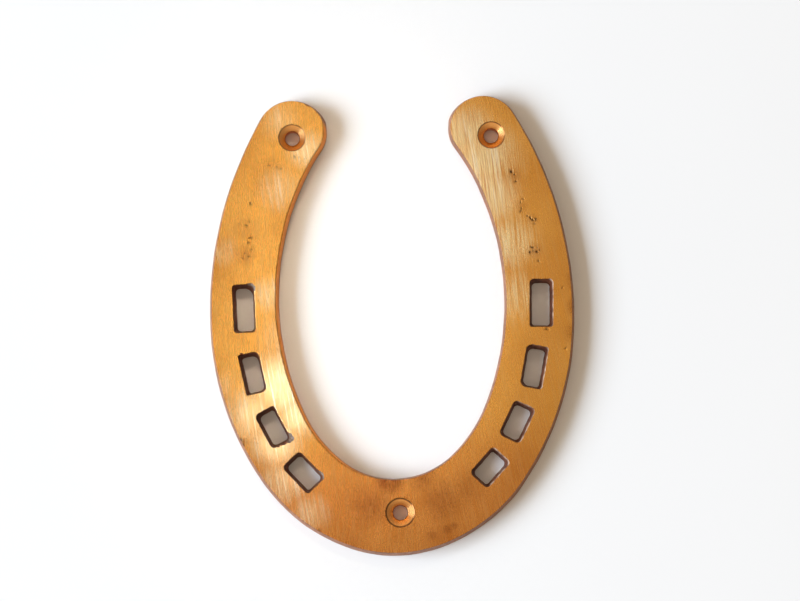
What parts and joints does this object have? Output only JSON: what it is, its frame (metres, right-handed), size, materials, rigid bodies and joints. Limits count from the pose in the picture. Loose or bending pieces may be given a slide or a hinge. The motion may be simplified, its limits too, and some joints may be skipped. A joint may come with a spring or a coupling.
{
  "type": "horseshoe",
  "caption": "Flat cast brass horseshoe to fix to a door or a wall, open at the heels, with nail slots along its branches and countersunk holes at the heels and toe.",
  "frame": {"origin": "middle of the back's bounding box: the shoe lies on its back, with its ground face up", "axes": "+Z out of the face, +Y from the toe to the heels, +X to the right as the face is read with the heels up"},
  "size_m": [0.1116, 0.1404, 0.005],
  "materials": {
    "brass": "ground and brushed face with brown as-cast walls"
  },
  "bodies": {
    "root": {"horseshoe_casting": "brass"}
  },
  "joints": []
}
